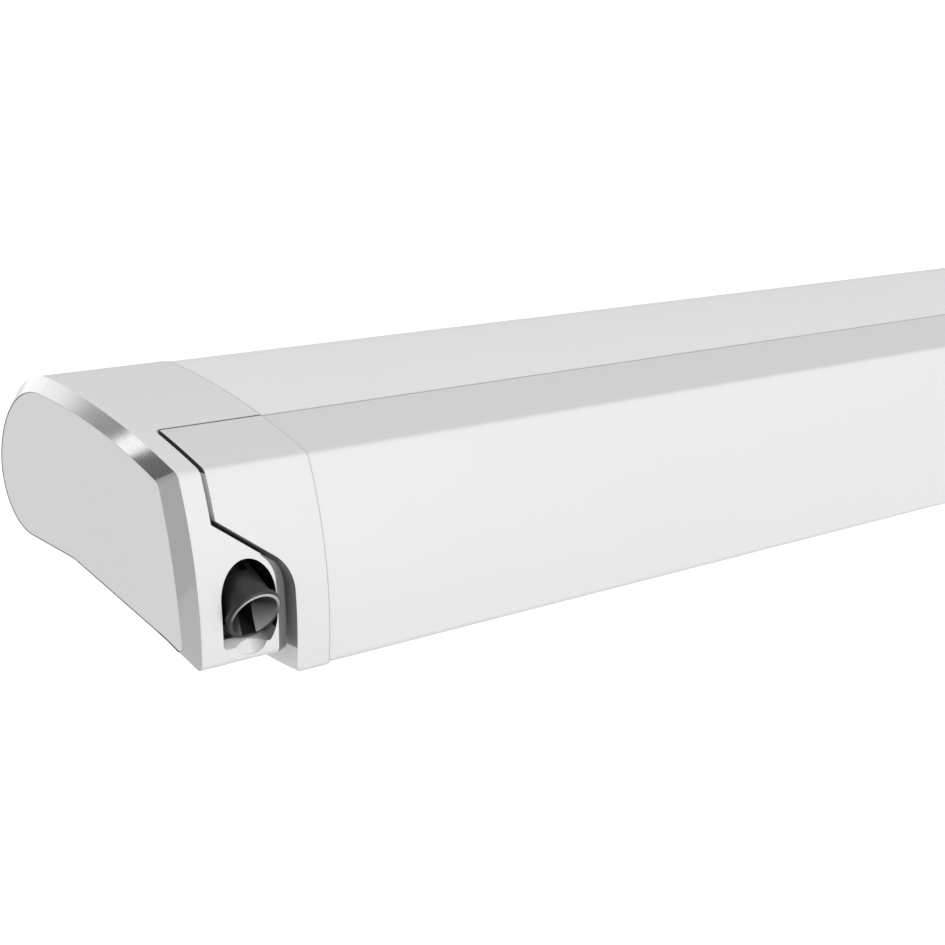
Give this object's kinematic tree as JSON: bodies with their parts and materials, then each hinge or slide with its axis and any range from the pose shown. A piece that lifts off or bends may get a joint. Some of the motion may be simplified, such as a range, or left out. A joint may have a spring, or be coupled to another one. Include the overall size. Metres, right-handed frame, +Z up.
{
  "type": "roll out awning",
  "caption": "Cassette awning for a caravan roof: casing, crank driven cloth roller, folding spring arms, lead rail and stowed support legs, shown closed.",
  "frame": {"origin": "middle of the casing's length, on its flat roof seat", "axes": "+X along the awning to its right end seen from the front, -Y out to the front, where the awning opens, +Z up"},
  "size_m": [2.6, 0.2315, 0.1515],
  "materials": {
    "casing_paint": "satin powder coat",
    "cap_moulding": "fine satin",
    "trim_chrome": "satin chrome",
    "side_panel": "satin",
    "rail_paint": "satin powder coat",
    "mill_aluminium": "extruded",
    "cast_aluminium": "cast",
    "steel": "zinc plated",
    "bronze": "machined",
    "dark_plastic": "fine grain",
    "grey_plastic": "fine grain",
    "seal_rubber": "matt",
    "canopy_cloth": "woven acrylic"
  },
  "bodies": {
    "casing": {"casing_profile": "casing_paint", "left_end_cap": "cap_moulding", "right_end_cap": "cap_moulding", "left_cap_trim": "trim_chrome", "right_cap_trim": "trim_chrome", "left_cap_panel": "side_panel", "right_cap_panel": "side_panel", "gearbox_housing": "dark_plastic", "gearbox_cover": "dark_plastic", "roller_bearing_plate": "grey_plastic", "left_shoulder_bracket": "cast_aluminium", "right_shoulder_bracket": "cast_aluminium", "shoulder_pins": "steel", "closing_seal": "seal_rubber", "cap_screws": "steel"},
    "crank": {"crank_eyelet": "dark_plastic", "crank_shaft": "steel"},
    "roller": {"roller_tube": "mill_aluminium", "left_roller_plug": "grey_plastic", "right_roller_plug": "grey_plastic", "worm_wheel": "bronze", "fabric_roll": "canopy_cloth"},
    "left_upper_arm": {"left_upper_arm_tube": "casing_paint", "left_shoulder_knuckle": "cast_aluminium", "left_elbow_fork": "cast_aluminium", "left_elbow_pin": "steel", "left_arm_spring": "steel"},
    "right_upper_arm": {"right_upper_arm_tube": "casing_paint", "right_shoulder_knuckle": "cast_aluminium", "right_elbow_fork": "cast_aluminium", "right_elbow_pin": "steel", "right_arm_spring": "steel"},
    "left_forearm": {"left_forearm_tube": "casing_paint", "left_elbow_tongue": "cast_aluminium", "left_wrist_knuckle": "cast_aluminium"},
    "right_forearm": {"right_forearm_tube": "casing_paint", "right_elbow_tongue": "cast_aluminium", "right_wrist_knuckle": "cast_aluminium"},
    "lead_rail": {"lead_rail_profile": "rail_paint", "left_rail_cap": "cap_moulding", "right_rail_cap": "cap_moulding", "left_wrist_bracket": "cast_aluminium", "right_wrist_bracket": "cast_aluminium", "wrist_pins": "steel", "left_leg_bracket": "steel", "right_leg_bracket": "steel", "leg_clips": "steel", "canopy_keder": "canopy_cloth"},
    "canopy": {"canopy_leader": "canopy_cloth"},
    "left_leg": {"left_leg_tube": "mill_aluminium", "left_leg_head": "grey_plastic", "left_leg_clamp": "grey_plastic"},
    "right_leg": {"right_leg_tube": "mill_aluminium", "right_leg_head": "grey_plastic", "right_leg_clamp": "grey_plastic"},
    "left_leg_extension": {"left_leg_inner": "mill_aluminium", "left_leg_foot": "grey_plastic"},
    "right_leg_extension": {"right_leg_inner": "mill_aluminium", "right_leg_foot": "grey_plastic"}
  },
  "joints": [
    {"name": "arm_fold", "type": "hinge", "parent": "casing", "child": "left_upper_arm", "pos_m": [-1.15, -0.05396, 0.04003], "axis": [0, 0.1736, -0.9848], "range_deg": [0, 65]},
    {"name": "left_elbow", "type": "hinge", "parent": "left_upper_arm", "child": "left_forearm", "pos_m": [-0.03, -0.07464, 0.03638], "axis": [0, 0.1736, -0.9848], "range_deg": [-131, 0]},
    {"name": "left_wrist", "type": "hinge", "parent": "left_forearm", "child": "lead_rail", "pos_m": [-1.15, -0.09532, 0.03274], "axis": [0, 0.1736, -0.9848], "range_deg": [0, 65.5]},
    {"name": "right_shoulder", "type": "hinge", "parent": "casing", "child": "right_upper_arm", "pos_m": [1.15, -0.05396, 0.04003], "axis": [0, -0.1736, 0.9848], "range_deg": [0, 65.5]},
    {"name": "right_elbow", "type": "hinge", "parent": "right_upper_arm", "child": "right_forearm", "pos_m": [0.03, -0.07464, 0.03638], "axis": [0, -0.1736, 0.9848], "range_deg": [-131, 0]},
    {"name": "canopy_feed", "type": "slide", "parent": "casing", "child": "canopy", "axis": [0, -0.9848, -0.1736], "range_m": [0, 2.0099], "deforming": ["canopy_leader"]},
    {"name": "roller_spin", "type": "hinge", "parent": "casing", "child": "roller", "pos_m": [0, 0.01404, 0.05103], "axis": [1, 0, 0], "range_deg": [0, 3396]},
    {"name": "crank_spin", "type": "hinge", "parent": "casing", "child": "crank", "pos_m": [-1.262, -0.15776, -0.00947], "axis": [0, 0.8746, 0.4848], "range_deg": [0, 23762]},
    {"name": "left_leg_swing", "type": "hinge", "parent": "lead_rail", "child": "left_leg", "pos_m": [-1.182, -0.13883, -0.02897], "axis": [0, 1, 0], "range_deg": [0, 90]},
    {"name": "right_leg_swing", "type": "hinge", "parent": "lead_rail", "child": "right_leg", "pos_m": [1.182, -0.12023, -0.02897], "axis": [0, -1, 0], "range_deg": [0, 90]},
    {"name": "left_leg_slide", "type": "slide", "parent": "left_leg", "child": "left_leg_extension", "axis": [1, 0, 0], "range_m": [0, 0.98]},
    {"name": "right_leg_slide", "type": "slide", "parent": "right_leg", "child": "right_leg_extension", "axis": [-1, 0, 0], "range_m": [0, 0.98]}
  ],
  "couplings": [
    {"joint": "left_elbow", "follows": "arm_fold", "ratio": -2},
    {"joint": "left_wrist", "follows": "arm_fold", "ratio": 1},
    {"joint": "right_shoulder", "follows": "arm_fold", "ratio": 1},
    {"joint": "right_elbow", "follows": "arm_fold", "ratio": -2},
    {"joint": "canopy_feed", "follows": "arm_fold", "m_per_rad": 1.7681},
    {"joint": "roller_spin", "follows": "arm_fold", "ratio": 52.092},
    {"joint": "crank_spin", "follows": "arm_fold", "ratio": 364.65}
  ]
}
